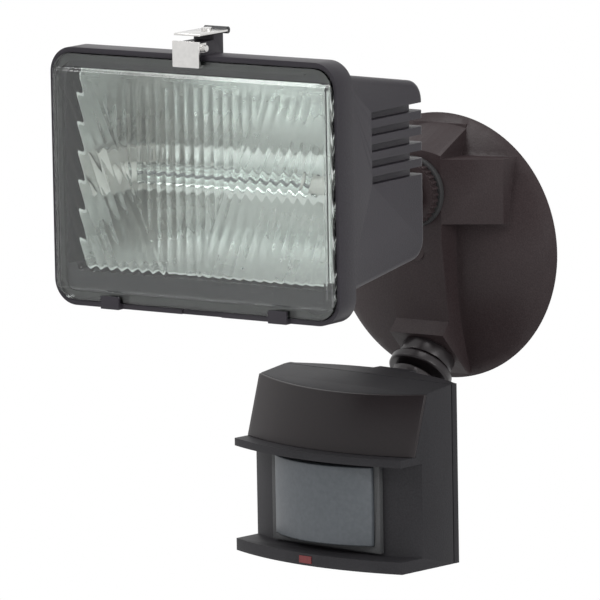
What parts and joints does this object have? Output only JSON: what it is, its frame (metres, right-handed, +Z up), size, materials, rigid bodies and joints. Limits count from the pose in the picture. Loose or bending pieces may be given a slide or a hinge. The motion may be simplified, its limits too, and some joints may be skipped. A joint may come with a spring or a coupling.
{
  "type": "motion sensor security light",
  "caption": "Wall light with a round canopy, a rectangular lamp head on a tilting arm and a boxy motion sensor on a slanted ball joint.",
  "frame": {"origin": "centre of the canopy's back face, on the wall plane", "axes": "+Z up, -Y out of the wall, +X to the right when the light is seen from the front"},
  "size_m": [0.158, 0.209, 0.2661],
  "materials": {
    "bronze_paint": "textured dark bronze",
    "black_rubber": "matt",
    "zinc_steel": "zinc plated",
    "chrome_plate": "polished",
    "clear_glass": "pressed",
    "quartz_glass": "clear",
    "mirror_sheet": "bright",
    "ceramic": "matt white",
    "brass_metal": "plain",
    "sensor_plastic": "fine texture",
    "visor_plastic": "satin",
    "lens_plastic": "translucent dark",
    "led_red": "translucent red",
    "board_green": "solder mask",
    "part_black": "matt",
    "tungsten": "wire"
  },
  "bodies": {
    "canopy": {"wall_plate": "bronze_paint", "wall_gasket": "black_rubber", "mounting_strap": "zinc_steel", "mounting_bolt": "zinc_steel", "bolt_plug": "black_rubber", "arm_washer": "black_rubber"},
    "arm_nut": {"arm_lock_nut": "bronze_paint"},
    "arm": {"lamp_arm": "bronze_paint", "tilt_bolt": "zinc_steel", "tilt_nut": "zinc_steel", "tilt_washer_left": "zinc_steel"},
    "lamp_head": {"lamp_housing": "bronze_paint", "head_lug": "bronze_paint", "tilt_washer_right": "zinc_steel", "lug_screws": "zinc_steel", "lens_gasket": "black_rubber", "reflector": "mirror_sheet", "reflector_screws": "zinc_steel", "holder_screws": "zinc_steel", "lamp_tube": "quartz_glass", "lamp_filament": "tungsten", "lamp_cap_left": "ceramic", "lamp_cap_right": "ceramic", "lamp_holder_left": "ceramic", "lamp_holder_right": "ceramic", "contact_left": "brass_metal", "contact_right": "brass_metal", "latch_spring": "chrome_plate", "latch_rivet": "chrome_plate", "latch_roll": "black_rubber"},
    "lens_cover": {"glass_lens": "clear_glass"},
    "latch": {"latch_clip": "chrome_plate", "latch_pin": "chrome_plate"},
    "stem_nut": {"sensor_lock_nut": "bronze_paint"},
    "stem": {"sensor_stem": "bronze_paint"},
    "sensor": {"sensor_housing": "sensor_plastic", "sensor_back_cover": "sensor_plastic", "cover_screws": "zinc_steel", "visor_panel": "visor_plastic", "fresnel_lens": "lens_plastic", "lens_frame": "sensor_plastic", "led_window": "led_red", "status_led": "led_red", "circuit_board": "board_green", "pir_detector": "zinc_steel", "relay": "part_black", "capacitor": "part_black"},
    "clamp_nut": {"swivel_clamp_nut": "bronze_paint"},
    "time_switch": {"on_time_switch": "part_black"},
    "range_dial": {"range_knob": "part_black"}
  },
  "joints": [
    {"name": "lamp_swivel", "type": "hinge", "parent": "canopy", "child": "arm", "pos_m": [0, -0.033, 0.0288], "axis": [0, -1, 0], "range_deg": [-45, 45]},
    {"name": "arm_nut_spin", "type": "hinge", "parent": "canopy", "child": "arm_nut", "pos_m": [0, -0.03, 0.0288], "axis": [0, -1, 0], "continuous": true},
    {"name": "lamp_tilt", "type": "hinge", "parent": "arm", "child": "lamp_head", "pos_m": [0, -0.098, 0.0288], "axis": [1, 0, 0], "range_deg": [-45, 45]},
    {"name": "latch_swing", "type": "hinge", "parent": "lamp_head", "child": "latch", "pos_m": [0, -0.205, 0.1165], "axis": [-1, 0, 0], "range_deg": [0, 80]},
    {"name": "lens_tip", "type": "hinge", "parent": "lamp_head", "child": "lens_cover", "pos_m": [0, -0.2036, -0.0029], "axis": [1, 0, 0], "range_deg": [0, 4]},
    {"name": "sensor_swivel", "type": "hinge", "parent": "canopy", "child": "stem", "pos_m": [0, -0.0147, -0.0498], "axis": [0, -0.7071, -0.7071], "range_deg": [-40, 40]},
    {"name": "stem_nut_spin", "type": "hinge", "parent": "canopy", "child": "stem_nut", "pos_m": [0, -0.0147, -0.0498], "axis": [0, -0.7071, -0.7071], "continuous": true},
    {"name": "sensor_tilt", "type": "hinge", "parent": "stem", "child": "sensor", "pos_m": [0, -0.02884, -0.06394], "axis": [1, 0, 0], "range_deg": [-7, 7]},
    {"name": "clamp_nut_spin", "type": "hinge", "parent": "sensor", "child": "clamp_nut", "pos_m": [0, -0.02884, -0.06394], "axis": [-0.1021, -0.6997, -0.7071], "continuous": true},
    {"name": "on_time_slide", "type": "slide", "parent": "sensor", "child": "time_switch", "axis": [0.9895, -0.1444, 0], "range_m": [0, 0.006]},
    {"name": "range_turn", "type": "hinge", "parent": "sensor", "child": "range_dial", "pos_m": [0.01176, -0.0729, -0.13834], "axis": [0, 0, 1], "range_deg": [-135, 135]}
  ],
  "couplings": [
    {"joint": "lens_tip", "follows": "latch_swing", "ratio": 0.05}
  ]
}
